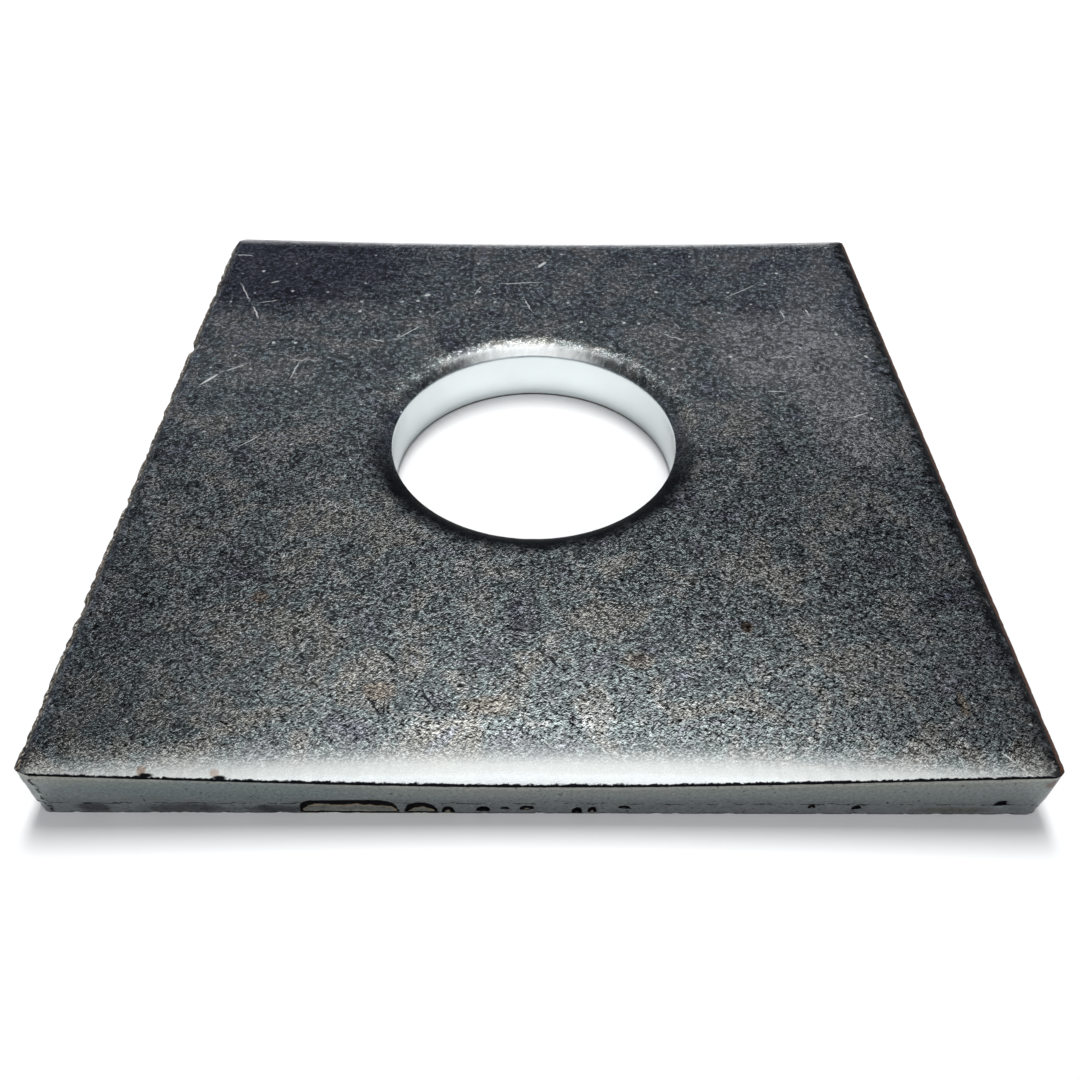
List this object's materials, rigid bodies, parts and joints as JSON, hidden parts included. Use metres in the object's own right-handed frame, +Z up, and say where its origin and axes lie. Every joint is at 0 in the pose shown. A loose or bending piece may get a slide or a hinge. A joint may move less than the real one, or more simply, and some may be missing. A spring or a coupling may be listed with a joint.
{
  "type": "square plate washer",
  "caption": "Thick square plate washer with a central bolt hole, sheared and punched from steel bar and zinc plated; spreads a nut's load over timber or steel.",
  "frame": {"origin": "on the bolt hole's axis, at the underside that bears on the work", "axes": "+Z up along the hole, from the underside to the rolled upper face; -Y towards the front sheared end; X across the bar's width"},
  "size_m": [0.06, 0.06, 0.005],
  "materials": {
    "zinc_plate": "zinc-plated mild steel, dull and finely grained, with rust along the cut edges"
  },
  "bodies": {
    "root": {"plate_washer": "zinc_plate"}
  },
  "joints": []
}
